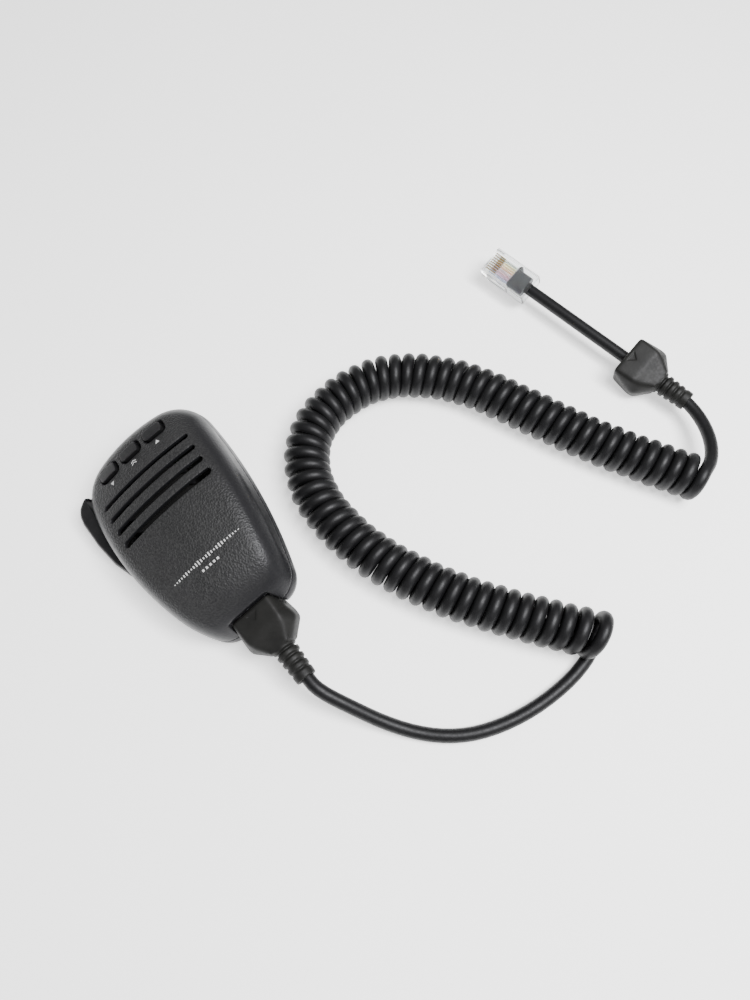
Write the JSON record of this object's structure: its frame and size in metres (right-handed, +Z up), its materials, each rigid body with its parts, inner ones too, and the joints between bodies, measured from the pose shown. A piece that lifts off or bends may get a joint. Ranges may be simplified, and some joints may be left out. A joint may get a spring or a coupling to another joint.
{
  "type": "hand microphone",
  "caption": "Fist-sized communications hand microphone with push-to-talk bar, three keys, sound slots, coiled cord and modular plug.",
  "frame": {"origin": "bottom centre of the bounding box of the microphone itself, without its cord, boots and plugs; z = 0 is the table", "axes": "+Y towards the microphone's top, +X towards its right, +Z up; the microphone leans 21 degrees towards its push-to-talk side and 2.6 degrees towards its cord"},
  "size_m": [0.2177, 0.1657, 0.0352],
  "materials": {
    "housing": "fine grained moulding",
    "key": "smooth satin",
    "cord_jacket": "satin",
    "boot_rubber": "matte",
    "clear_plug": "clear, glossy",
    "gilt": "plated",
    "wire_colours": "coloured insulation",
    "grey_sheath": "smooth",
    "board": "solder masked",
    "plated_steel": "nickel plated",
    "capsule_metal": "satin",
    "film": "thin film",
    "cloth": "woven",
    "foam": "foam"
  },
  "bodies": {
    "microphone": {"front_shell": "housing", "rear_shell": "housing", "circuit_board": "board", "case_screws": "plated_steel", "board_screws": "plated_steel", "hanger_stud": "plated_steel", "stud_screw": "plated_steel", "tact_switches": "key", "ptt_pivot_pin": "plated_steel", "ptt_return_spring": "plated_steel", "ptt_switch": "key", "tone_switch": "plated_steel", "capsule_cup": "plated_steel", "capsule_cap": "capsule_metal", "capsule_diaphragm": "film", "capsule_ring": "boot_rubber", "acoustic_cloth": "cloth", "capsule_pad": "foam", "capsule_leads": "wire_colours", "modular_jack": "key", "jack_contacts": "gilt", "mic_plug_body": "clear_plug", "mic_plug_blades": "gilt", "mic_plug_wires": "wire_colours", "mic_plug_sheath": "grey_sheath", "mic_plug_latch": "clear_plug", "mic_end_boot": "boot_rubber", "cord_mic_end": "cord_jacket", "cord_lead": "cord_jacket", "cord_coil": "cord_jacket", "cord_tail": "cord_jacket", "cord_straight": "cord_jacket", "radio_plug_body": "clear_plug", "radio_plug_blades": "gilt", "radio_plug_wires": "wire_colours", "radio_plug_sheath": "grey_sheath"},
    "ptt": {"ptt_bar": "key"},
    "ptt_plunger": {"ptt_switch_plunger": "film"},
    "key_down": {"button_down": "key", "button_down_plunger": "film"},
    "key_fast": {"button_fast": "key", "button_fast_plunger": "film"},
    "key_up": {"button_up": "key", "button_up_plunger": "film"},
    "tone": {"tone_slider": "key"},
    "boot_on_cord": {"radio_boot": "boot_rubber"},
    "latch": {"radio_plug_latch": "clear_plug"}
  },
  "joints": [
    {"name": "ptt_hinge", "type": "hinge", "parent": "microphone", "child": "ptt", "pos_m": [-0.01817, 0.0005, 0.00721], "axis": [0.358, 0.0454, -0.9326], "range_deg": [0, 3], "stiffness_Nm_per_rad": 0.05, "springref_deg": -11.46, "deforming": ["ptt_return_spring"]},
    {"name": "ptt_plunger_slide", "type": "slide", "parent": "microphone", "child": "ptt_plunger", "axis": [0.9336, 0, 0.3584], "range_m": [0, 0.001]},
    {"name": "button_down_press", "type": "slide", "parent": "microphone", "child": "key_down", "axis": [0.358, 0.0454, -0.9326], "range_m": [0, 0.0006], "stiffness_N_per_m": 200, "springref_m": -0.004},
    {"name": "button_fast_press", "type": "slide", "parent": "microphone", "child": "key_fast", "axis": [0.358, 0.0454, -0.9326], "range_m": [0, 0.0006], "stiffness_N_per_m": 200, "springref_m": -0.004},
    {"name": "button_up_press", "type": "slide", "parent": "microphone", "child": "key_up", "axis": [0.358, 0.0454, -0.9326], "range_m": [0, 0.0006], "stiffness_N_per_m": 200, "springref_m": -0.004},
    {"name": "tone_slide", "type": "slide", "parent": "microphone", "child": "tone", "axis": [0.9336, 0, 0.3584], "range_m": [0, 0.0024]},
    {"name": "radio_boot_slide", "type": "slide", "parent": "microphone", "child": "boot_on_cord", "axis": [-0.1676, 0.9859, 0], "range_m": [0, 0.0525]},
    {"name": "plug_latch_press", "type": "hinge", "parent": "microphone", "child": "latch", "pos_m": [0.16617, 0.02553, 0.00606], "axis": [-0.9204, -0.1564, -0.3584], "range_deg": [0, 5], "stiffness_Nm_per_rad": 0.004, "springref_deg": -8.59}
  ],
  "couplings": [
    {"joint": "ptt_plunger_slide", "follows": "ptt_hinge", "m_per_rad": 0.018}
  ]
}
